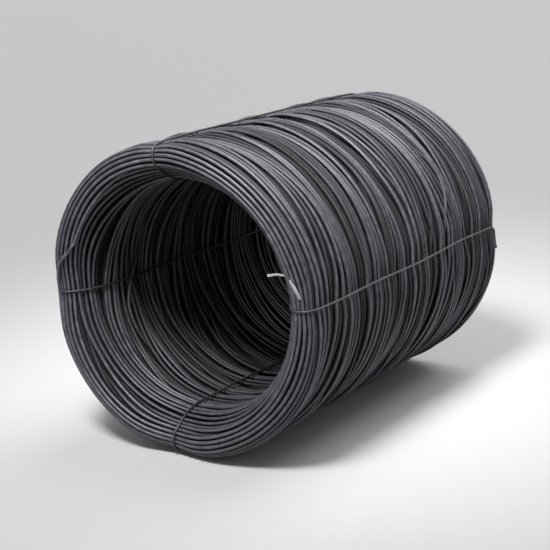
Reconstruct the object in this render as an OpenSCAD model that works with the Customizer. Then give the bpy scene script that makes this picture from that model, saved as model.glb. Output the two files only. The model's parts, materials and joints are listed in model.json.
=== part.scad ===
// Coil of round carbon steel spring wire, tied with four wire loops, with a blank label strip.
// Frame: the coil lies on its side. +Y is the coil's axis (the front end faces -Y), +Z is up,
// and the origin is on the ground under the middle of the coil. Millimetres.

/* [Coil] */
// Outer diameter of the coil
coil_od = 1220; // [1200:10:1240]
// Diameter of the bore, the eye of the coil
coil_id = 880; // [870:10:900]
// Length of the coil along its axis
coil_len = 1550; // [1300:10:1800]
// Rounding of each end on its outer side
end_round_out = 60; // [50:1:65]
// Rounding of each end on its bore side, which makes the mouth of the bore flare
end_round_in = 220; // [190:5:230]
// Straight stretch of an end between its two roundings
end_straight = 20; // [15:1:30]

/* [Wire] */
// Diameter of the coiled wire, which sets the turns that show on the ends
wire_d = 14; // [11:0.5:15]

/* [Ties] */
// Diameter of the tie wire
tie_d = 8; // [6:0.5:9]
// How far a tie stands proud of the turns that it is pulled into
tie_proud = 1.5; // [0:0.5:2]
// Length of the twisted tail of a tie
tie_tail = 85; // [40:5:95]
// Angle of the right tie round the coil, from +X towards +Z
tie_right_deg = 4; // [0:1:8]
// Angle of the top tie
tie_top_deg = 97; // [92:1:100]
// Angle of the left tie
tie_left_deg = 181; // [177:1:185]
// Angle of the bottom tie
tie_bottom_deg = 264; // [258:1:265]

/* [Label] */
// Width of the label strip
label_w = 14; // [10:1:18]
// Thickness of the label strip
label_t = 0.8; // [0.6:0.1:1.2]

/* [Hidden] */
$fn = 96;

r_out = coil_od / 2;
r_in = coil_id / 2;
wall = r_out - r_in;
half = coil_len / 2;
ro = end_round_out;
ri = end_round_in;
st = end_straight;
tie_r = tie_d / 2;
sink = tie_r - tie_proud;                // depth of the tie's centre line under the turns' crests
bed = sink + tie_r + 0.2;                // depth of the channel that the tie is pulled into
channel_deg = 2 * atan((tie_r + 1.2) / r_in);
tail_r = tie_d;                          // two wires twisted together
steel = [0.30, 0.30, 0.32];
tie_steel = [0.22, 0.22, 0.235];

// ---- section of one end: an arc about c1, a short straight, then a wider arc about c2 that runs into the bore ----
// The straight is square to the direction `meet`, in degrees from straight out (0) past the front (90) to the bore (180).
meet = 90 + asin((ro + ri - wall) / norm([ri - ro, st])) + atan(st / (ri - ro));
out = [cos(meet), sin(meet)];
along = [-sin(meet), cos(meet)];
c1 = [r_out - ro, half - ro];
c2 = c1 - (ri - ro) * out + st * along;
function arc1(inset) = (ro - inset) * meet * PI / 180;
function arc2(inset) = (ri - inset) * (180 - meet) * PI / 180;
function end_length(inset) = arc1(inset) + st + arc2(inset);
function at(c, r, a) = c + r * [cos(a), sin(a)];

// A point on the end's outline, set in by `inset`, at share s (0 to 1) of the way from the outside to the bore
function end_point(s, inset) =
    let (d = s * end_length(inset), d2 = d - arc1(inset), d3 = d2 - st)
    d2 <= 0 ? at(c1, ro - inset, d / (ro - inset) * 180 / PI) :
    d3 <= 0 ? c1 + (ro - inset) * out + d2 * along :
    at(c2, ri - inset, meet + d3 / (ri - inset) * 180 / PI);

// Whole turns that show on one end
turns = floor(end_length(wire_d / 2) / (wire_d * 0.97));

turn_at = [for (k = [0 : turns - 1]) (k + 0.5) / turns];

// Plain section, set in all round by `inset`, with its ends in one straight step for each turn
module plain_section(inset) {
    end = [for (s = concat([0], turn_at, [1])) end_point(s, inset)];
    polygon(concat(end, [for (k = [len(end) - 1 : -1 : 0]) [end[k][0], -end[k][1]]]));
}

// Section with the turns of wire round on both ends
module turned_section() {
    union() {
        plain_section(wire_d * 0.32);
        translate([r_out - 2 * wire_d, -c1[1]]) square([2 * wire_d, 2 * c1[1]]);
        translate([r_in, -c2[1]]) square([2 * wire_d, 2 * c2[1]]);
        for (m = [0, 1]) mirror([0, m])
            for (s = turn_at) translate(end_point(s, wire_d / 2)) circle(d = wire_d);
    }
}

tie_degs = [tie_right_deg, tie_top_deg, tie_left_deg, tie_bottom_deg];

// Lays a shape modelled about its own Z axis along the ground: its Z becomes -Y, its Y becomes up
module lay() { translate([0, 0, r_out]) rotate([90, 0, 0]) children(); }

// ---- the pieces ----
module wire_coil() {
    color(steel) lay() union() {
        rotate_extrude() plain_section(bed);
        // four stretches of full section, with the channels of the ties between them
        for (i = [0 : 3]) {
            from = tie_degs[i] + channel_deg / 2;
            to = (i < 3 ? tie_degs[i + 1] : tie_degs[0] + 360) - channel_deg / 2;
            rotate([0, 0, from]) rotate_extrude(angle = to - from) turned_section();
        }
    }
}

// Bend of tie wire in the meridian plane, about c, from angle a0 to a1, let a little way into the straights at its ends
module tie_bend(c, r, a0, a1) {
    lap = 1.5 / r * 180 / PI;
    translate([c[0], 0, c[1]]) rotate([90, 0, 0]) rotate([0, 0, a0 - lap])
        rotate_extrude(angle = a1 - a0 + 2 * lap) translate([r, 0]) circle(r = tie_r - 0.1);
}

// One closed loop of tie wire along the outside, over both ends and through the bore, and its twisted tail
module tie_loop(deg) {
    tail_at = ro + tail_r + 0.5;
    join = c1 + (ro - sink) * out;
    color(tie_steel) lay() rotate([0, 0, deg]) union() {
        translate([r_out - sink, 0, -c1[1]]) cylinder(r = tie_r, h = 2 * c1[1]);
        tie_bend(c1, ro - sink, 0, meet);
        translate([join[0], 0, join[1]]) rotate([0, -meet, 0]) cylinder(r = tie_r, h = st);
        tie_bend(c2, ri - sink, meet, 180);
        translate([r_in + sink, 0, -c2[1]]) cylinder(r = tie_r, h = 2 * c2[1]);
        tie_bend([c2[0], -c2[1]], ri - sink, 180, 360 - meet);
        translate([join[0], 0, -join[1]]) rotate([0, 180 + meet, 0]) cylinder(r = tie_r, h = st);
        tie_bend([c1[0], -c1[1]], ro - sink, 360 - meet, 360);
        // the two ends leave the loop at the back corner and lie twisted along the end
        translate([c1[0], 0, -c1[1]]) rotate([0, 135, 0]) {
            translate([0, 0, ro - sink]) cylinder(r = tie_r * 0.8, h = tail_at - ro + sink);
            translate([0, tie_d, tail_at]) rotate([90, 0, 0]) cylinder(r = tail_r, h = tie_tail);
        }
    }
}

module tie_wire_right() { tie_loop(tie_right_deg); }
module tie_wire_top() { tie_loop(tie_top_deg); }
module tie_wire_left() { tie_loop(tie_left_deg); }
module tie_wire_bottom() { tie_loop(tie_bottom_deg); }

// Route of the label strip over the front end, clear of the turns and the bore: [angle, radius, depth behind the front]
label_route = [[8, r_out - 43, -3], [15, r_out - 70, -3], [17, r_out - 88, 2], [18.3, r_in + 62, 18], [19.5, r_in + 38, 34], [20.3, r_in + 12, 40]];
function label_at(p) = [p[1] * cos(p[0]), p[1] * sin(p[0]), half - p[2]];

// One thin blank strip of flat lengths, folded over the front end
module label_tag() {
    color([0.93, 0.93, 0.92]) lay() union() {
        for (i = [0 : len(label_route) - 2]) {
            a = label_at(label_route[i]);
            b = label_at(label_route[i + 1]);
            x = (b - a) / norm(b - a);
            y = cross([0, 0, 1], x) / norm(cross([0, 0, 1], x));
            z = cross(x, y);
            multmatrix([[x[0], y[0], z[0], a[0]], [x[1], y[1], z[1], a[1]], [x[2], y[2], z[2], a[2]], [0, 0, 0, 1]])
                translate([-1.5, -label_w / 2, -label_t / 2]) cube([norm(b - a) + 3, label_w, label_t]);
        }
    }
}

wire_coil();
tie_wire_right();
tie_wire_top();
tie_wire_left();
tie_wire_bottom();
label_tag();
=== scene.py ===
"""Looks of one tied coil of hot-rolled carbon steel spring wire, lying on its side."""
import json
import math

import bpy
import numpy as np
from mathutils import Matrix, Vector


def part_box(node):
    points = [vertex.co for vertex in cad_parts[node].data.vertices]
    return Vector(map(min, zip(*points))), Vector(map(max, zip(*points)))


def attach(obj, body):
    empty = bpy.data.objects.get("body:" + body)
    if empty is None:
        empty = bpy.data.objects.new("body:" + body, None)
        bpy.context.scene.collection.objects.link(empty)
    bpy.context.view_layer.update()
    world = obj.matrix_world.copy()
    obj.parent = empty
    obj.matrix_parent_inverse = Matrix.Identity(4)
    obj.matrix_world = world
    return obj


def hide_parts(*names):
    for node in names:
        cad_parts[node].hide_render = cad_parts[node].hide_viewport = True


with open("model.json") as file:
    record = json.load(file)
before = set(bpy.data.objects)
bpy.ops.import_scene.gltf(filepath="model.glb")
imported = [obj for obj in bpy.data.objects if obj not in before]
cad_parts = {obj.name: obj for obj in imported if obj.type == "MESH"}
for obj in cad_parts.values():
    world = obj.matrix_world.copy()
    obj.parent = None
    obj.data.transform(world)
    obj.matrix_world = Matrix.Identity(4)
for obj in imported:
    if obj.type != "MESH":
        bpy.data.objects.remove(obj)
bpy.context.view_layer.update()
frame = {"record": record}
scene = bpy.context.scene

# ---------------------------------------------------------------------------------------------
# Sizes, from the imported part
# ---------------------------------------------------------------------------------------------
low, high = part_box("wire_coil")
R_OUT = (high[0] - low[0]) / 2
LEN = high[1] - low[1]
FRONT = low[1]
Z_MID = (low[2] + high[2]) / 2
R_IN = frame["record"]["mounts"][0]["dims"]["r_mm"] / 1000
RO, RI, ST = 0.060, 0.220, 0.020   # an end's outer rounding, its bore-side rounding and the straight between them
WIRE = 0.007                   # radius of the wire
TIE = 0.004                    # radius of the tie wire
D = 2 * WIRE
GAP = (0.0082, 0.0106)         # room that a turn keeps free round its centre, least and most
RM = (R_OUT + R_IN) / 2
TIES = {"right": 4.0, "top": 97.0, "left": 181.0, "bottom": 264.0}
PINCH = {"right": 0.010, "top": 0.026, "left": 0.028, "bottom": 0.030}   # how far a tie draws the front end in

N = 96                         # stations a turn
SKIN = 166                     # turns that lie side by side all over the coil: from the middle of the bore round both ends and back
FILL = 167                     # turns that fill each half of the wall under them
TURNS = SKIN + 2 * FILL
SPANS = [(0, SKIN), (SKIN, SKIN + FILL), (SKIN + FILL, TURNS)]
PHI0 = math.radians(165)
PHI = PHI0 + 2 * math.pi * np.arange(N) / N

# The outline of an end: an arc about C1, a straight, then an arc about C2 that runs into the bore.
# Places are (radius, depth behind the end plane); OUT and ALONG have their second part towards the end plane.
MEET = math.pi / 2 + math.asin((RO + RI - (R_OUT - R_IN)) / math.hypot(RI - RO, ST)) + math.atan(ST / (RI - RO))
OUT = np.array([math.cos(MEET), math.sin(MEET)])
ALONG = np.array([-math.sin(MEET), math.cos(MEET)])
C1 = np.array([R_OUT - RO, RO])
C2 = np.array([C1[0] - (RI - RO) * OUT[0] + ST * ALONG[0], RO + (RI - RO) * OUT[1] - ST * ALONG[1]])


def unit(v):
    return v / np.maximum(np.linalg.norm(v, axis=-1, keepdims=True), 1e-12)


def outline(inset):
    """The end's outline from the bore to the outside, set in by inset."""
    a = np.linspace(math.pi, MEET, 60)
    b = np.linspace(MEET, 0, 60)
    return np.concatenate([
        np.c_[C2[0] + (RI - inset) * np.cos(a), C2[1] - (RI - inset) * np.sin(a)],
        np.c_[C1[0] + (RO - inset) * np.cos(b), C1[1] - (RO - inset) * np.sin(b)],
    ])


LINE = outline(WIRE)
UNDER = outline(WIRE + 0.9 * D)
HALF_LINE = np.concatenate([
    np.c_[np.full(40, R_IN + WIRE), np.linspace(LEN / 2, C2[1] + 0.005, 40)],
    LINE,
    np.c_[np.full(40, R_OUT - WIRE), np.linspace(RO + 0.005, LEN / 2, 40)],
])
SKIN_LINE = np.concatenate([HALF_LINE, np.c_[HALF_LINE[-2::-1, 0], LEN - HALF_LINE[-2::-1, 1]]])
TIP = int(np.argmin(LINE[:, 1]))


# ---------------------------------------------------------------------------------------------
# The winding: turns that lie side by side over the coil, and loose turns that fill the wall under them, pressed together
# ---------------------------------------------------------------------------------------------
def bed(r):
    """Least depth of a filling wire's centre at radius r."""
    return np.interp(r, UNDER[:, 0], UNDER[:, 1])


def limits(w):
    """Least and greatest radius of a wire's centre at depth w."""
    return np.interp(w, LINE[: TIP + 1, 1][::-1], LINE[: TIP + 1, 0][::-1]), np.interp(w, LINE[TIP:, 1], LINE[TIP:, 0])


def confine(r, u):
    """Holds wire centres inside the outline."""
    r = np.clip(r, R_IN + WIRE, R_OUT - WIRE)
    back = u > LEN / 2
    w = np.where(back, LEN - u, u)
    x, y = r - C1[0], C1[1] - w
    side = x * ALONG[0] + y * ALONG[1]
    d = np.hypot(x, y)
    k = np.where((side < 0) & (y > 0) & (d > RO - WIRE), (RO - WIRE) / np.maximum(d, 1e-9), 1)
    over = np.maximum(x * OUT[0] + y * OUT[1] - (RO - WIRE), 0) * ((side >= 0) & (side <= ST))
    r, w = C1[0] + x * k - over * OUT[0], C1[1] - y * k + over * OUT[1]
    x, y = r - C2[0], C2[1] - w
    d = np.hypot(x, y)
    k = np.where((side > ST) & (y > 0) & (d > RI - WIRE), (RI - WIRE) / np.maximum(d, 1e-9), 1)
    r, w = C2[0] + x * k, C2[1] - y * k
    return r, np.where(back, LEN - w, w)


def series(rng, n, every, lo, hi):
    """A smooth random run along n turns, with a new value each `every` turns."""
    k = rng.uniform(lo, hi, int(n / every) + 4)
    x = np.arange(n * N) / N / every
    i = x.astype(int)
    f = x - i
    f = f * f * (3 - 2 * f)
    return (k[i] * (1 - f) + k[i + 1] * f).reshape(n, N)


def lay_skin(seed):
    """Radius and distance of the turns that lie side by side, with a free wander."""
    rng = np.random.default_rng(seed)
    run = np.concatenate([[0], np.linalg.norm(np.diff(SKIN_LINE, axis=0), axis=1).cumsum()])
    step = unit(np.gradient(SKIN_LINE, axis=0))
    # the turns lie closer on the ends and the outside than in the bore
    outside = SKIN_LINE[:, 0] > R_OUT - WIRE - 1e-6
    w = np.minimum(SKIN_LINE[:, 1], LEN - SKIN_LINE[:, 1])
    close = np.where(outside, 1 / 0.0182, np.interp(w, [0.02, 0.05], [1 / 0.0175, 1 / 0.0225]))
    count = np.concatenate([[0], (0.5 * (close[1:] + close[:-1]) * np.diff(run)).cumsum()])
    count *= SKIN / count[-1]
    t = np.arange(SKIN)[:, None] + np.arange(N) / N
    t = t + series(rng, SKIN, 0.6, -0.5, 0.5) * np.interp(t, count, np.where(outside, 1.7, 1.0))
    s = np.interp(t, count, run)
    # groups of turns drift together
    drift = 0
    for _ in range(6):
        drift = drift + rng.uniform(0.004, 0.009) * np.sin(2 * math.pi * s / rng.uniform(0.2, 0.5) + rng.integers(1, 4) * PHI + rng.uniform(0, 6.28))
    s = np.clip(s + drift, 0, run[-1])
    # some turns lie back from the others, least on the ends
    loose = np.where(outside, 0.8, np.interp(w, [0.02, 0.05], [0.4, 1.0]))
    lie = np.maximum(series(rng, SKIN, 0.9, -0.010, 0.020), 0) * np.interp(s, run, loose)
    r = np.interp(s, run, SKIN_LINE[:, 0]) - lie * np.interp(s, run, step[:, 1])
    return r, np.interp(s, run, SKIN_LINE[:, 1]) + lie * np.interp(s, run, step[:, 0])


def lay_fill(seed, n, passes=40, back=90):
    """Radius and depth of n eccentric turns that fall one on the other from the end."""
    rng = np.random.default_rng(seed)
    turn = np.concatenate([[rng.uniform(0, 360)], rng.uniform(8, 30, n + 2)])
    psi = np.interp(np.arange(n * N) / N, np.arange(len(turn)), np.radians(turn.cumsum())).reshape(n, N)
    ecc = series(rng, n, 1.0, 0.62, 1.0)
    wave = series(rng, n, 2.0, -0.003, 0.003) * np.cos(2 * PHI - series(rng, n, 3.0, 0, 6.28))
    wave += series(rng, n, 2.0, -0.0025, 0.0025) * np.cos(3 * PHI - series(rng, n, 3.0, 0, 6.28))
    wave += series(rng, n, 1.0, -0.003, 0.003)
    r = np.zeros((n, N))
    z = np.zeros((n, N))
    ramp = np.arange(N) / N
    q = 24
    was = None
    for i in range(n):
        # the turn keeps to the width of the outline at the depth reached so far
        lo, hi = limits(0.045 if i == 0 else max(0.045, float(z[max(0, i - 6) : i].mean())))
        now = np.array([(lo + hi) / 2, (hi - lo) / 2])
        was = now if was is None else was
        c, e = was[:, None] + (now - was)[:, None] * ramp
        was = now
        r[i] = np.clip(c + ecc[i] * e * np.cos(PHI - psi[i]) + wave[i], R_IN + WIRE, R_OUT - WIRE)
        need = bed(r[i])
        if i:
            j = max(0, i - back)
            dd = D * D - (r[i] - r[j:i]) ** 2
            need = np.maximum(need, np.where(dd > 0, z[j:i] + np.sqrt(np.maximum(dd, 0)), -1).max(0))
        w = np.concatenate([z[i - 1, -q:] if i else np.full(q, need[0]), need])
        floor = w.copy()
        for _ in range(passes):
            s = np.empty_like(w)
            s[1:-1] = 0.25 * w[:-2] + 0.5 * w[1:-1] + 0.25 * w[2:]
            s[0] = w[0]
            s[-1] = 0.5 * (w[-1] + w[-2])
            w = np.maximum(floor, s)
        if i:
            z[i - 1, -q:] = w[:q]
        z[i] = w[q:]
    top = float(z[-24:].mean())
    b = bed(r)
    return r, b + (z - b) * (LEN / 2 - 0.012 - 0.03) / (top - 0.03)


def smoothed(p, times):
    for _ in range(times):
        q = p.copy()
        q[1:-1] = 0.25 * p[:-2] + 0.5 * p[1:-1] + 0.25 * p[2:]
        p = q
    return p


def press(r, u, rounds, near=10, stiff=0.06):
    """Pushes turns that run into each other apart, keeps the wire stiff, and holds it all in the coil's outline."""
    n = len(r)
    room = series(np.random.default_rng(21), n, 0.7, *GAP)
    for _ in range(rounds):
        order = np.argsort(u, axis=0, kind="stable")
        rs = np.take_along_axis(r, order, 0)
        us = np.take_along_axis(u, order, 0)
        ms = np.take_along_axis(room, order, 0)
        dr = np.zeros_like(rs)
        du = np.zeros_like(us)
        for k in range(1, near + 1):
            a = rs[k:] - rs[:-k]
            b = us[k:] - us[:-k]
            q = a * a + b * b
            g = ms[k:] + ms[:-k]
            hit = q < g * g
            q = np.sqrt(np.maximum(q, 1e-10))
            p = np.where(hit, 0.45 * (g - q) / q, 0)
            dr[k:] += p * a
            dr[:-k] -= p * a
            du[k:] += p * b
            du[:-k] -= p * b
        mr = np.empty_like(r)
        mu = np.empty_like(u)
        np.put_along_axis(mr, order, dr, 0)
        np.put_along_axis(mu, order, du, 0)
        r = r + np.clip(mr * 0.6, -0.004, 0.004)
        u = u + np.clip(mu * 0.6, -0.004, 0.004)
        for x in (r, u):
            for s in (slice(a, b) for a, b in SPANS):
                f = x[s].reshape(-1)
                g = f.copy()
                g[2:-2] += stiff * (-f[:-4] + 4 * f[1:-3] - 6 * f[2:-2] + 4 * f[3:-1] - f[4:])
                x[s] = g.reshape(-1, N)
        r, u = confine(r, u)
    for x in (r, u):
        for s in (slice(a, b) for a, b in SPANS):
            x[s] = smoothed(x[s].reshape(-1, 1), 5).reshape(-1, N)
    return confine(r, u)


def buried(r, u):
    """Depth of a point under the coil's outline."""
    w = np.minimum(u, LEN - u)
    x, y = r - C1[0], C1[1] - w
    side = x * ALONG[0] + y * ALONG[1]
    end = np.where(side < 0, np.where(y > 0, RO - np.hypot(x, y), 1.0), RO - (x * OUT[0] + y * OUT[1]))
    y2 = C2[1] - w
    end = np.where(side > ST, np.where(y2 > 0, RI - np.hypot(r - C2[0], y2), 1.0), end)
    return np.minimum(np.minimum(R_OUT - r, r - R_IN), end)


def uneven(rng, r, u, waves):
    """A smooth random swell from 0 to 1 over the coil."""
    f = 0
    for _ in range(waves):
        f = f + np.sin(2 * math.pi * u / rng.uniform(0.10, 0.32) + rng.integers(-2, 3) * PHI + rng.uniform(0, 6.28))
    f = f / math.sqrt(waves / 2)
    return 1 / (1 + np.exp(-1.5 * f))


def loosen(r, u, seed):
    """Single turns of the outside and the bore lie deeper than their neighbours, here and there."""
    rng = np.random.default_rng(seed)
    body = np.clip((np.minimum(u, LEN - u) - 0.02) / 0.08, 0, 1)
    outer = np.clip((r - RM) / (R_OUT - RM), 0, 1)
    inner = np.clip((RM - r) / (RM - R_IN), 0, 1)
    sunk = np.maximum(series(rng, len(r), 0.45, -0.012, 0.019), 0)
    sunk = smoothed(sunk.reshape(-1, 1), 6).reshape(-1, N)
    return r - sunk * outer * body + 1.1 * sunk * inner * body, u


def settle(r, u):
    """Some groups of turns lie deeper than others: on the outside, in the bore and on the ends."""
    rng = np.random.default_rng(8)
    outer = np.clip((r - RM) / (R_OUT - RM), 0, 1)
    inner = np.clip((RM - r) / (RM - R_IN), 0, 1)
    body = np.clip((np.minimum(u, LEN - u) - 0.03) / 0.10, 0, 1)
    return r - 0.026 * uneven(rng, r, u, 5) * outer**1.5 * body + 0.007 * uneven(rng, r, u, 5) * inner**1.5 * body, u


def tie_pull(r, u):
    """The ties pull the turns in: at both ends, and less along the outside and the bore."""
    out_r, out_u = r.copy(), u.copy()
    outer = np.clip((r - RM) / (R_OUT - RM), 0, 1)
    inner = np.clip((RM - r) / (RM - R_IN), 0, 1)
    ends = np.exp(-((np.minimum(u, LEN - u) / 0.12) ** 2))
    for word, deg in TIES.items():
        d = (PHI - math.radians(deg) + math.pi) % (2 * math.pi) - math.pi
        narrow = np.exp(-((d / math.radians(5.0)) ** 2))
        wide = np.exp(-((d / math.radians(13.0)) ** 2))
        out_u += PINCH[word] * wide * np.exp(-u / 0.14) - 0.022 * wide * np.exp(-(LEN - u) / 0.14)
        out_r -= (0.013 * narrow + 0.006 * wide * ends) * outer**1.5
        out_r += (0.005 * narrow + 0.004 * wide * ends) * inner**1.5
    return out_r, out_u


r_s, u_s = lay_skin(3)
r_a, h_a = lay_fill(5, FILL)
r_b, h_b = lay_fill(11, FILL)
R = np.concatenate([r_s, r_a, r_b[::-1, ::-1]])
U = np.concatenate([u_s, h_a, LEN - h_b[::-1, ::-1]])
R, U = press(R, U, 160)
R[:SKIN], U[:SKIN] = loosen(R[:SKIN], U[:SKIN], 17)
R0, U0 = R, U
R, U = settle(R, U)
R, U = tie_pull(R, U)


def place(phi, r, u):
    """Points in the row frame from angle, radius and distance from the front plane."""
    return np.stack([r * np.cos(phi), FRONT + u + 0 * phi, Z_MID + r * np.sin(phi)], -1)


def section(phi):
    """Radius and distance of every turn where it crosses the plane at angle phi."""
    x = ((phi - PHI0) / (2 * math.pi) * N) % N
    k = int(x)
    f = x - k
    rf, uf = R.reshape(-1), U.reshape(-1)
    i = np.arange(TURNS) * N + k
    j = np.minimum(i + 1, len(rf) - 1)
    ok = np.abs(rf[j] - rf[i]) < 0.03
    return (rf[i] * (1 - f) + rf[j] * f)[ok], (uf[i] * (1 - f) + uf[j] * f)[ok]


def front_face(phi, r, width=0.0):
    """Distance from the front plane of the nearest wire surface at angle phi and radius r."""
    rr, uu = section(phi)
    d = np.maximum(np.abs(rr - r) - width, 0)
    hit = d < WIRE
    return float((uu[hit] - np.sqrt(WIRE**2 - d[hit] ** 2)).min()) if hit.any() else 0.05


# ---------------------------------------------------------------------------------------------
# Mesh helpers
# ---------------------------------------------------------------------------------------------
def tube_rings(p, radius, sides, ref):
    """Rings of vertices round a path, with the first corner turned to ref."""
    t = np.gradient(p, axis=0)
    t = unit(t)
    n = unit(ref - (ref * t).sum(-1, keepdims=True) * t)
    b = np.cross(t, n)
    a = 2 * math.pi * np.arange(sides) / sides
    radius = np.broadcast_to(np.asarray(radius, float), (len(p),))[:, None, None]
    return p[:, None] + radius * (np.cos(a)[None, :, None] * n[:, None] + np.sin(a)[None, :, None] * b[:, None])


def tube_faces(rings, sides, first=0):
    i = np.arange(rings - 1)[:, None] * sides
    j = np.arange(sides)[None, :]
    k = (j + 1) % sides
    return (first + np.stack([i + j, i + k, i + sides + k, i + sides + j], -1)).reshape(-1, 4)


def new_mesh(name, verts, quads, caps=(), uv=None, point_values=None, smooth=True):
    """A mesh object from arrays: quads, then n-sided caps."""
    me = bpy.data.meshes.new(name)
    corners = np.concatenate([quads.reshape(-1)] + [np.asarray(c) for c in caps]).astype(np.int32)
    sizes = np.concatenate([np.full(len(quads), 4), [len(c) for c in caps]]).astype(np.int32)
    me.vertices.add(len(verts))
    me.vertices.foreach_set("co", np.asarray(verts, np.float32).reshape(-1))
    me.loops.add(len(corners))
    me.loops.foreach_set("vertex_index", corners)
    me.polygons.add(len(sizes))
    me.polygons.foreach_set("loop_start", np.concatenate([[0], sizes.cumsum()[:-1]]).astype(np.int32))
    me.update(calc_edges=True)
    if uv is not None:
        layer = me.uv_layers.new(name="OFBake")
        layer.data.foreach_set("uv", np.asarray(uv, np.float32).reshape(-1))
    for key, values in (point_values or {}).items():
        me.attributes.new(key, "FLOAT", "POINT").data.foreach_set("value", np.asarray(values, np.float32))
    me.validate()
    me.polygons.foreach_set("use_smooth", np.full(len(me.polygons), smooth))
    ob = bpy.data.objects.new(name, me)
    scene.collection.objects.link(ob)
    return ob


# ---------------------------------------------------------------------------------------------
# Materials
# ---------------------------------------------------------------------------------------------
class Nodes:
    """Short way to write a node tree."""

    def __init__(self, name):
        self.mat = bpy.data.materials.new(name)
        self.mat.use_nodes = True
        self.tree = self.mat.node_tree
        self.tree.nodes.clear()
        self.out = self.add("ShaderNodeOutputMaterial")
        self.bsdf = self.add("ShaderNodeBsdfPrincipled")
        self.link(self.bsdf.outputs[0], self.out.inputs["Surface"])
        self.pos = self.add("ShaderNodeTexCoord").outputs["Object"]

    def add(self, kind, **props):
        node = self.tree.nodes.new(kind)
        for k, v in props.items():
            setattr(node, k, v)
        return node

    def link(self, a, b):
        self.tree.links.new(a, b)

    def put(self, socket, value):
        if hasattr(value, "is_output"):
            self.link(value, socket)
        else:
            socket.default_value = value

    def noise(self, scale, detail=3.0, rough=0.55, vector=None):
        n = self.add("ShaderNodeTexNoise")
        self.link(vector or self.pos, n.inputs["Vector"])
        n.inputs["Scale"].default_value = scale
        n.inputs["Detail"].default_value = detail
        n.inputs["Roughness"].default_value = rough
        return n.outputs["Fac"]

    def ramp(self, value, lo, hi, to_lo=0.0, to_hi=1.0):
        n = self.add("ShaderNodeMapRange")
        self.put(n.inputs["Value"], value)
        for key, v in (("From Min", lo), ("From Max", hi), ("To Min", to_lo), ("To Max", to_hi)):
            n.inputs[key].default_value = v
        return n.outputs["Result"]

    def math(self, op, a, b):
        n = self.add("ShaderNodeMath", operation=op)
        self.put(n.inputs[0], a)
        self.put(n.inputs[1], b)
        return n.outputs[0]

    def mix(self, fac, a, b, blend="MIX"):
        n = self.add("ShaderNodeMix", data_type="RGBA", blend_type=blend)
        self.put(n.inputs["Factor"], fac)
        self.put(n.inputs["A"], a)
        self.put(n.inputs["B"], b)
        return n.outputs["Result"]

    def bump(self, height, strength, distance):
        n = self.add("ShaderNodeBump")
        self.link(height, n.inputs["Height"])
        n.inputs["Strength"].default_value = strength
        n.inputs["Distance"].default_value = distance
        self.link(n.outputs["Normal"], self.bsdf.inputs["Normal"])

    def attribute(self, name):
        return self.add("ShaderNodeAttribute", attribute_name=name).outputs["Fac"]


def wire_material():
    m = Nodes("mill_scale_wire")
    tint_and_shade = m.attribute("tint_and_shade")
    shade_depth = m.attribute("shade_depth")                 # painted shade: the wire is darkened down between the turns, by how deep it lies under the outline
    patch = m.noise(3.2, 3.0)
    mottle = m.noise(38.0, 4.0, 0.6)
    fine = m.noise(420.0, 3.0, 0.6)
    dark, mid, light = (0.027, 0.0248, 0.0305, 1), (0.070, 0.0648, 0.0795, 1), (0.140, 0.130, 0.157, 1)
    col = m.mix(m.ramp(mottle, 0.35, 0.70), mid, light)
    # each turn's random tone, and painted shade in the bore, both darken towards the dark colour
    col = m.mix(m.ramp(tint_and_shade, 0.0, 1.0, 0.0, 0.75), col, dark)
    col = m.mix(m.ramp(patch, 0.56, 0.72, 0.0, 0.25), col, (0.075, 0.068, 0.060, 1))
    col = m.mix(m.ramp(fine, 0.52, 0.75, 0.0, 0.45), col, dark)
    # painted shade: the deeper a point lies under the coil's outline, the nearer black its colour
    col = m.mix(m.ramp(shade_depth, 0.002, 0.015, 0.0, 0.9), col, (0.006, 0.006, 0.007, 1))
    m.link(col, m.bsdf.inputs["Base Color"])
    m.bsdf.inputs["Metallic"].default_value = 0.35
    m.bsdf.inputs["Specular IOR Level"].default_value = 0.5
    rough = m.math("ADD", m.ramp(mottle, 0.3, 0.7, 0.36, 0.54), m.ramp(fine, 0.3, 0.7, -0.05, 0.07))
    m.link(m.math("ADD", rough, m.ramp(shade_depth, 0.002, 0.012, 0.0, 0.3)), m.bsdf.inputs["Roughness"])
    m.bump(m.math("ADD", m.ramp(fine, 0.3, 0.75), m.ramp(mottle, 0.3, 0.75)), 0.35, 0.0006)
    return m.mat


def tie_material():
    m = Nodes("tie_wire_steel")
    mottle = m.noise(60.0, 4.0, 0.6)
    fine = m.noise(500.0, 3.0, 0.6)
    col = m.mix(m.ramp(mottle, 0.35, 0.7), (0.034, 0.0335, 0.037, 1), (0.080, 0.078, 0.085, 1))
    col = m.mix(m.ramp(fine, 0.55, 0.75, 0.0, 0.4), col, (0.024, 0.023, 0.024, 1))
    # painted shade: the tie is darkened towards near black where it runs through the bore
    scale = m.attribute("scale")
    col = m.mix(m.ramp(scale, 0.0, 1.0, 0.0, 0.85), col, (0.006, 0.006, 0.007, 1))
    m.link(col, m.bsdf.inputs["Base Color"])
    m.bsdf.inputs["Metallic"].default_value = 0.45
    m.link(m.math("ADD", m.ramp(mottle, 0.3, 0.7, 0.38, 0.55), m.ramp(scale, 0.0, 1.0, 0.0, 0.35)), m.bsdf.inputs["Roughness"])
    m.bump(m.ramp(fine, 0.3, 0.75), 0.3, 0.0005)
    return m.mat


def label_material():
    m = Nodes("label_paper")
    soft = m.noise(45.0, 4.0)
    fibre = m.noise(900.0, 2.0)
    col = m.mix(m.ramp(soft, 0.35, 0.7), (0.36, 0.36, 0.355, 1), (0.27, 0.27, 0.27, 1))
    m.link(col, m.bsdf.inputs["Base Color"])
    m.link(m.ramp(fibre, 0.3, 0.7, 0.55, 0.75), m.bsdf.inputs["Roughness"])
    m.bump(fibre, 0.25, 0.0004)
    return m.mat


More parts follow.
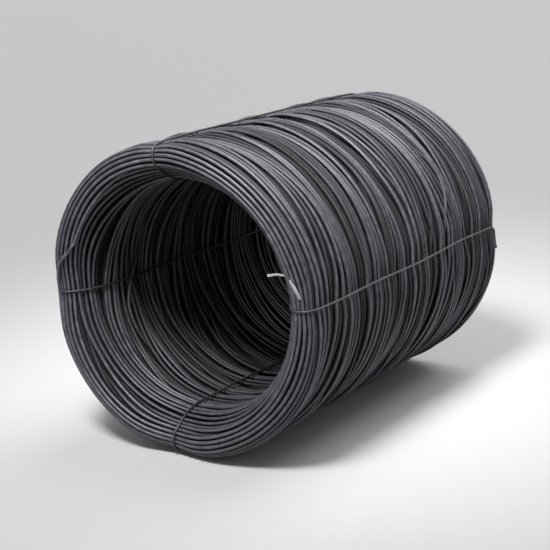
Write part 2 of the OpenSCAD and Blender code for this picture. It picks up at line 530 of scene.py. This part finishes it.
def shade_core_material():
    # painted shade: a near-black sheet in the wall, where the turns under the surface would lie in shade
    m = Nodes("painted_shade_sheet")
    soft = m.noise(38.0, 4.0, 0.6)
    m.link(m.mix(m.ramp(soft, 0.35, 0.7), (0.005, 0.005, 0.006, 1), (0.012, 0.0115, 0.012, 1)), m.bsdf.inputs["Base Color"])
    m.link(m.ramp(soft, 0.3, 0.7, 0.8, 0.95), m.bsdf.inputs["Roughness"])
    m.bsdf.inputs["Specular IOR Level"].default_value = 0.1
    return m.mat


WIRE_MAT, TIE_MAT, LABEL_MAT, SHADE_CORE_MAT = wire_material(), tie_material(), label_material(), shade_core_material()


# ---------------------------------------------------------------------------------------------
# The wire, in lengths of turns
# ---------------------------------------------------------------------------------------------
SIDES = 8
pieces = []
tint_rng = np.random.default_rng(5)
turn_tint = np.clip(tint_rng.normal(0.35, 0.28, TURNS + 2), 0, 1)
phi_all = PHI0 + 2 * math.pi * np.arange(TURNS * N) / N
p_all = place(phi_all, R.reshape(-1), U.reshape(-1))
out_all = np.stack([np.cos(phi_all), 0 * phi_all, np.sin(phi_all)], -1)
tint_and_shade_all = np.interp(np.arange(TURNS * N) / N, np.arange(TURNS + 2), turn_tint)
# painted shade: the bore's turns are darkened, the more so towards its middle
from_end = np.minimum(U, LEN - U)
bore_shade_mask = np.clip((RM - R) / 0.05, 0, 1) * np.clip((from_end - 0.05) / 0.24, 0, 1)
tint_and_shade_all = np.clip(tint_and_shade_all + 0.5 * bore_shade_mask.reshape(-1), 0, 1)
ring_ang = 2 * math.pi * np.arange(SIDES) / SIDES
# painted shade: how deep each point of the wire lies under the coil's outline, which darkens its colour
shade_depth_all = buried(R0.reshape(-1, 1) + WIRE * np.cos(ring_ang), U0.reshape(-1, 1) + WIRE * np.sin(ring_ang))
# painted shade: more of it far inside the bore, away from both ends
shade_depth_all = shade_depth_all + 0.008 * (bore_shade_mask * np.clip(np.minimum((U - 0.40) / 0.8, (LEN - U - 0.14) / 0.2), 0, 1)).reshape(-1, 1)
starts, ends = [a for a, b in SPANS], [b for a, b in SPANS]
cuts = [0, SKIN // 2, SKIN, SKIN + FILL // 2, SKIN + FILL, SKIN + 3 * FILL // 2, TURNS]
for c in range(len(cuts) - 1):
    a = cuts[c] * N
    b = min(cuts[c + 1] * N + (1 if cuts[c + 1] not in ends else 0), TURNS * N)
    p, ref = p_all[a:b], out_all[a:b]
    m = len(p)
    verts = tube_rings(p, WIRE * 0.95, SIDES, ref).reshape(-1, 3)
    quads = tube_faces(m, SIDES)
    caps = []
    if cuts[c] in starts:
        caps.append(np.arange(SIDES)[::-1])
    if cuts[c + 1] in ends:
        caps.append((m - 1) * SIDES + np.arange(SIDES))
    # one strip of the map for each turn
    rows = cuts[c + 1] - cuts[c] + 1
    s = np.arange(m - 1)
    row = s // N
    x0 = (s % N) / N
    x1 = x0 + 1 / N
    v = (row[:, None] + 0.04 + 0.92 * np.arange(SIDES + 1)[None, :] / SIDES) / rows
    v0, v1 = v[:, :-1], v[:, 1:]
    X0, X1 = np.broadcast_to(x0[:, None], v0.shape), np.broadcast_to(x1[:, None], v0.shape)
    uv = np.stack([np.stack([X0, v0], -1), np.stack([X0, v1], -1), np.stack([X1, v1], -1), np.stack([X1, v0], -1)], 2).reshape(-1, 2)
    for k, cap in enumerate(caps):
        ang = 2 * math.pi * np.arange(SIDES) / SIDES
        uv = np.concatenate([uv, np.stack([0.3 + 0.2 * k + 0.002 * np.cos(ang), (rows - 0.5) / rows + 0.3 / rows * np.sin(ang)], -1)])
    ob = new_mesh(f"wire_turns_{c + 1}", verts, quads, caps, uv, {"tint_and_shade": np.repeat(tint_and_shade_all[a:b], SIDES), "shade_depth": shade_depth_all[a:b].reshape(-1)})
    ob.data.materials.append(WIRE_MAT)
    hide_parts("wire_coil")
    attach(ob, "root")
    pieces.append(ob)


def make_shade_core(end, side):
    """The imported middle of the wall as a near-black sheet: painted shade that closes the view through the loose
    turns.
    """
    long_out = np.arange(RO + 0.03, LEN - RO - 0.02, 0.03)
    long_in = np.arange(C2[1] + 0.03, LEN - C2[1] - 0.02, 0.03)[::-1]

    def section_line(a, b):
        f = outline(a)[::4]
        r = np.concatenate([f[:, 0], np.full(len(long_out), R_OUT - b), f[::-1, 0], np.full(len(long_in), R_IN + b)])
        u = np.concatenate([f[:, 1], long_out, LEN - f[::-1, 1], long_in])
        return np.repeat(r[:, None], N, 1), np.repeat(u[:, None], N, 1)

    # it goes in and out with the turns over it
    r0, u0 = section_line(WIRE, WIRE)
    r1, u1 = tie_pull(*settle(r0, u0))
    r, u = section_line(end, side)
    r, u = r + r1 - r0, u + u1 - u0
    k = len(r)
    verts = place(np.repeat(PHI[None], k, 0), r, u).reshape(-1, 3)
    i, j = np.arange(k)[:, None], np.arange(N)[None]
    i2, j2 = (i + 1) % k, (j + 1) % N
    quads = np.stack(np.broadcast_arrays(i * N + j, i * N + j2, i2 * N + j2, i2 * N + j), -1).reshape(-1, 4)
    ob = new_mesh("wire_core", verts, quads)
    ob.data.materials.append(SHADE_CORE_MAT)
    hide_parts("wire_coil")
    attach(ob, "root")
    return ob


make_shade_core(0.021, 0.027)


def over_front(stops, step=0.010, times=14):
    """Centre line of a wire that lies on the front of the turns, through (angle, radius, sink) stops."""
    a = np.array(stops, float)
    k = np.linspace(0, len(a) - 1, 400)
    i = np.arange(len(a))
    deg, rad, sink = (np.interp(k, i, a[:, c]) for c in range(3))
    for _ in range(60):
        for x in (rad, sink):
            x[1:-1] = 0.25 * x[:-2] + 0.5 * x[1:-1] + 0.25 * x[2:]
    phi = np.radians(deg)
    u = np.array([front_face(f, r, 0.003) for f, r in zip(phi, rad)]) - WIRE + sink
    for _ in range(300):
        u[1:-1] = np.minimum(u[1:-1], 0.25 * u[:-2] + 0.5 * u[1:-1] + 0.25 * u[2:])
    for _ in range(40):
        u[1:-1] = 0.25 * u[:-2] + 0.5 * u[1:-1] + 0.25 * u[2:]
    return place(phi, rad, u)


CROSSING = [(112, 0.520, 0.030), (122, 0.512, 0.012), (135, 0.505, 0.0), (150, 0.501, 0.0), (158, 0.503, 0.0), (162, 0.512, 0.0),
            (165, 0.526, 0.0), (168, 0.543, 0.0), (171, 0.556, 0.0), (176, 0.566, 0.004), (182, 0.570, 0.006), (192, 0.573, 0.010), (204, 0.575, 0.030)]
path = over_front(CROSSING)
ring_ref = np.tile(np.array([0.0, -1.0, 0.0]), (len(path), 1))
verts = tube_rings(path, WIRE, 8, ring_ref).reshape(-1, 3)
crossing = new_mesh("wire_crossing", verts, tube_faces(len(path), 8), [np.arange(8)[::-1], (len(path) - 1) * 8 + np.arange(8)],
                    None, {"tint_and_shade": np.full(len(verts), 0.1), "shade_depth": np.zeros(len(verts))})
crossing.data.materials.append(WIRE_MAT)
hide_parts("wire_coil")
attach(crossing, "root")


# ---------------------------------------------------------------------------------------------
# The ties
# ---------------------------------------------------------------------------------------------
def hull(points):
    """Convex hull, counter-clockwise."""
    pts = sorted(map(tuple, points))

    def chain(seq):
        h = []
        for q in seq:
            while len(h) > 1 and (h[-1][0] - h[-2][0]) * (q[1] - h[-2][1]) - (h[-1][1] - h[-2][1]) * (q[0] - h[-2][0]) <= 0:
                h.pop()
            h.append(q)
        return h

    a, b = chain(pts), chain(pts[::-1])
    return np.array(a[:-1] + b[:-1])


def rounded(poly, d):
    """The outline of a convex polygon set out by d, with round corners."""
    edge = np.roll(poly, -1, 0) - poly
    ang = np.arctan2(-edge[:, 0], edge[:, 1])  # outward normal of each edge
    out = []
    for i in range(len(poly)):
        a0, a1 = ang[i - 1], ang[i]
        turn = (a1 - a0) % (2 * math.pi)
        k = max(2, int(turn / 0.15) + 1)
        for s in np.linspace(0, 1, k):
            a = a0 + turn * s
            out.append(poly[i] + d * np.array([math.cos(a), math.sin(a)]))
    return np.array(out)


def resample(p, step, closed=False):
    q = np.vstack([p, p[:1]]) if closed else p
    s = np.concatenate([[0], np.linalg.norm(np.diff(q, axis=0), axis=1).cumsum()])
    n = max(2, int(round(s[-1] / step)))
    x = np.linspace(0, s[-1], n, endpoint=not closed)
    return np.stack([np.interp(x, s, q[:, k]) for k in range(q.shape[1])], -1)


def make_tie(name, deg, seed):
    rng = np.random.default_rng(seed)
    phi = math.radians(deg)
    rr, uu = section(phi)
    loop = resample(rounded(hull(np.c_[rr, uu]), WIRE + TIE * 0.9), 0.006, closed=True)
    # start at the back outer corner, where the ends are twisted
    corner = np.array([R_OUT - 0.018, LEN - 0.018])
    start = int(np.argmin(((loop - corner) ** 2).sum(1)))
    loop = np.roll(loop, -start, 0)
    side = np.array([math.sin(phi), 0, -math.cos(phi)])       # the way the tail lies
    radial = np.array([math.cos(phi), 0, math.sin(phi)])
    axial = np.array([0, 1.0, 0])
    origin = np.array([0, FRONT, Z_MID])
    s = np.arange(len(loop)) * 0.006
    sway = sum(rng.uniform(0.001, 0.003) * np.sin(2 * math.pi * (k * s / s[-1] + rng.uniform())) for k in (1, 2, 3, 5))
    body = origin + loop[:, :1] * radial + loop[:, 1:] * axial + sway[:, None] * side
    # the twisted tail, which follows the turns under it
    nrm = unit(np.array([0.72, 0.70]))
    base = loop[0] - nrm * TIE * 0.9
    tail = []
    for t in np.linspace(0.012, 0.098, 60):
        d = -t / base[0]                                        # angle along the coil
        lift = TIE * 1.75 + 0.010 * (t / 0.098) ** 2
        q = base + nrm * lift
        c = origin + q[0] * np.array([math.cos(phi + d), 0, math.sin(phi + d)]) + q[1] * axial
        n3 = nrm[0] * np.array([math.cos(phi + d), 0, math.sin(phi + d)]) + nrm[1] * axial
        t3 = np.array([math.sin(phi + d), 0, -math.cos(phi + d)])
        tail.append((c, n3, np.cross(t3, n3), t))
    strands = []
    for k in (0, 1):
        pts = []
        for c, n3, b3, t in tail:
            a = 2 * math.pi * (t - 0.012) / 0.026 + k * math.pi + 0.6
            w = TIE * (1.0 + 1.6 * max(0, (t - 0.080) / 0.018) ** 2)
            pts.append(c + w * (math.cos(a) * n3 + math.sin(a) * b3))
        strands.append(np.array(pts))
    path = np.vstack([strands[0][::-1], body[3:-3], strands[1]])
    m = len(strands[0])
    # ease the bends where the loop turns into the tail
    for at in (m, len(path) - m):
        lo_i, hi_i = at - 9, at + 9
        path[lo_i:hi_i] = smoothed(path[lo_i:hi_i], 10)
    path = resample(path, 0.0055)
    path = smoothed(path, 2)
    # reference normals: away from the middle of the wall
    mid = origin + RM * radial + LEN / 2 * axial
    ref = np.tile(side, (len(path), 1)) + 0.35 * unit(path - mid)
    t = unit(np.gradient(path, axis=0))
    frames = [unit(ref[0] - (ref[0] @ t[0]) * t[0])]
    for i in range(1, len(path)):
        f = frames[-1] - (frames[-1] @ t[i]) * t[i]
        frames.append(unit(f))
    sides = 8
    verts = tube_rings(path, TIE, sides, np.array(frames)).reshape(-1, 3)
    quads = tube_faces(len(path), sides)
    caps = [np.arange(sides)[::-1], (len(path) - 1) * sides + np.arange(sides)]
    # painted shade: the run through the bore is darkened
    rad = np.hypot(path[:, 0], path[:, 2] - Z_MID)
    depth = np.minimum(path[:, 1] - FRONT, FRONT + LEN - path[:, 1])
    scale = np.clip((RM - rad) / 0.03, 0, 1) * np.clip((depth - 0.06) / 0.10, 0, 1)
    ob = new_mesh(name, verts, quads, caps, None, {"scale": np.repeat(scale, sides)})
    ob.data.materials.append(TIE_MAT)
    return ob


for k, (word, deg) in enumerate(TIES.items()):
    ob = make_tie(f"tie_{word}", deg, 40 + k)
    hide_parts(f"tie_wire_{word}")
    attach(ob, "root")


# ---------------------------------------------------------------------------------------------
# The blank label strip: one end out over the bore, tucked under turns of the lip, the other end on the lip
# ---------------------------------------------------------------------------------------------
def make_label():
    stops = [  # angle, radius, depth and half width: a depth is the distance from the front plane, None lies on the turns
        (19.6, 0.431, 0.034, 0.0048), (19.3, 0.448, 0.037, 0.0044), (19.1, 0.462, 0.036, 0.0048), (18.6, 0.478, 0.032, 0.0044),
        (18.2, 0.494, 0.030, 0.0044), (17.6, 0.508, 0.036, 0.0040), (16.9, 0.522, 0.030, 0.0036), (16.0, 0.533, 0.016, 0.0034),
        (15.0, 0.540, None, 0.0028), (13.8, 0.543, None, 0.0052), (12.4, 0.548, None, 0.0090), (11.0, 0.552, None, 0.0122),
        (9.8, 0.556, None, 0.0114), (8.8, 0.559, None, 0.0078), (8.0, 0.561, None, 0.0030),
    ]
    pts, half = [], []
    for deg, r, depth, h in stops:
        phi = math.radians(deg)
        u = depth if depth is not None else front_face(phi, r, 0.004) - 0.0012
        pts.append(place(np.array(phi), np.array(r), np.array(u)))
        half.append(h)
    along = np.concatenate([[0], np.linalg.norm(np.diff(np.array(pts), axis=0), axis=1).cumsum()])
    path = smoothed(resample(np.array(pts), 0.003), 12)
    t = unit(np.gradient(path, axis=0))
    ref = np.tile(np.array([0.0, -1.0, 0.0]), (len(path), 1))
    s = np.linspace(0, 1, len(path))
    n = unit(ref - (ref * t).sum(1, keepdims=True) * t)
    b = np.cross(t, n)
    roll = 0.35 * np.sin(s * 9.0) - 0.2 * np.clip(1 - s / 0.35, 0, 1) ** 0.5
    n, b = n * np.cos(roll)[:, None] + b * np.sin(roll)[:, None], b * np.cos(roll)[:, None] - n * np.sin(roll)[:, None]
    cols = 5
    w = np.interp(s, along / along[-1], half)[:, None, None]
    across = np.linspace(-1, 1, cols)[None, :, None]
    crease = 0.0012 * np.sin(s * 23.0)
    top = path[:, None] + across * w * b[:, None] + crease[:, None, None] * across**2 * n[:, None]
    th = 0.0004
    up, dn = top + th * n[:, None], top - th * n[:, None]
    m = len(path)
    verts = np.concatenate([up.reshape(-1, 3), dn.reshape(-1, 3)])
    quads = []
    o = m * cols
    for i in range(m - 1):
        for j in range(cols - 1):
            a = i * cols + j
            quads.append((a, a + 1, a + cols + 1, a + cols))
            quads.append((o + a, o + a + cols, o + a + cols + 1, o + a + 1))
        a, z = i * cols, i * cols + cols - 1
        quads.append((a, a + cols, o + a + cols, o + a))
        quads.append((z, o + z, o + z + cols, z + cols))
    for j in range(cols - 1):
        a, z = j, (m - 1) * cols + j
        quads.append((a, o + a, o + a + 1, a + 1))
        quads.append((z, z + 1, o + z + 1, o + z))
    ob = new_mesh("label_strip", verts, np.array(quads))
    ob.data.materials.append(LABEL_MAT)
    return ob


label = make_label()
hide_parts("label_tag")
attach(label, "root")


# ---------------------------------------------------------------------------------------------
# Floor, light, camera
# ---------------------------------------------------------------------------------------------
floor_me = bpy.data.meshes.new("floor")
floor_me.from_pydata([(-40, -40, 0), (40, -40, 0), (40, 40, 0), (-40, 40, 0)], [], [(0, 1, 2, 3)])
floor = bpy.data.objects.new("floor", floor_me)
scene.collection.objects.link(floor)
fm = bpy.data.materials.new("floor_pale")
fm.use_nodes = True
fb = fm.node_tree.nodes["Principled BSDF"]
fb.inputs["Base Color"].default_value = (0.42, 0.42, 0.42, 1)
fb.inputs["Roughness"].default_value = 0.8
floor_me.materials.append(fm)

world = bpy.data.worlds.new("studio")
scene.world = world
world.use_nodes = True
bg = world.node_tree.nodes["Background"]
wn, wl = world.node_tree.nodes, world.node_tree.links
sky = wn.new("ShaderNodeTexCoord")
split = wn.new("ShaderNodeSeparateXYZ")
rise = wn.new("ShaderNodeMapRange")
tone = wn.new("ShaderNodeMix")
tone.data_type = "RGBA"
wl.new(sky.outputs["Generated"], split.inputs[0])
wl.new(split.outputs["Z"], rise.inputs["Value"])
rise.inputs["From Min"].default_value = 0.0
rise.inputs["From Max"].default_value = 0.75
wl.new(rise.outputs["Result"], tone.inputs["Factor"])
side = wn.new("ShaderNodeMapRange")
wall = wn.new("ShaderNodeMix")
wall.data_type = "RGBA"
wl.new(split.outputs["Y"], side.inputs["Value"])
side.inputs["From Min"].default_value = -0.95
side.inputs["From Max"].default_value = -0.25
wl.new(side.outputs["Result"], wall.inputs["Factor"])
wall.inputs["A"].default_value = (0.08, 0.08, 0.082, 1)
wall.inputs["B"].default_value = (0.62, 0.62, 0.63, 1)
wl.new(wall.outputs["Result"], tone.inputs["A"])
tone.inputs["B"].default_value = (0.60, 0.60, 0.61, 1)
wl.new(tone.outputs["Result"], bg.inputs["Color"])
bg.inputs["Strength"].default_value = 1.0


key = bpy.data.lights.new("key", "SPOT")
key.energy = 4150
key.spot_size = math.radians(36)
key.spot_blend = 1.0
key.shadow_soft_size = 1.1
key_light = bpy.data.objects.new("key", key)
key_light.location = (0.6, -3.5, 6.0)
key_light.rotation_euler = (Vector((0, -0.1, 0.95)) - key_light.location).to_track_quat("-Z", "Y").to_euler()
scene.collection.objects.link(key_light)
sun = bpy.data.lights.new("top", "SUN")
sun.energy = 2.5
sun.angle = math.radians(50)
top_light = bpy.data.objects.new("top", sun)
top_light.rotation_euler = Vector((-0.18, -0.5, -1.0)).to_track_quat("-Z", "Y").to_euler()
scene.collection.objects.link(top_light)

cam_data = bpy.data.cameras.new("camera")
cam = bpy.data.objects.new("camera", cam_data)
scene.collection.objects.link(cam)
scene.camera = cam
cam_data.sensor_fit = "HORIZONTAL"
cam_data.sensor_width = 36.0
eye = Vector((3.263, FRONT - 4.198, Z_MID + 1.41))
ROLL = math.radians(-2.5)
ring = np.linspace(0, 2 * math.pi, 73)
rims = np.concatenate([place(ring, np.full_like(ring, R_OUT), np.full_like(ring, u)) for u in (0.02, LEN - 0.02)])
aim = Vector((0, 0, Z_MID))
for _ in range(8):
    look = (aim - eye).to_track_quat("-Z", "Y").to_matrix() @ Matrix.Rotation(ROLL, 3, "Z")
    q = np.array([tuple(look.transposed() @ (Vector(p) - eye)) for p in rims])
    xy = q[:, :2] / -q[:, 2:]
    mid = (xy.max(0) + xy.min(0)) / 2
    aim = aim + (aim - eye).length * (look @ Vector((mid[0], mid[1], 0)))
span = (xy.max(0) - xy.min(0)).max()
cam.matrix_world = Matrix.Translation(eye) @ look.to_4x4()
cam_data.lens = 36.0 * 0.82 / span
cam_data.clip_end = 200
cam_data.dof.use_dof = False

scene.view_settings.view_transform = "Standard"
scene.view_settings.look = "None"
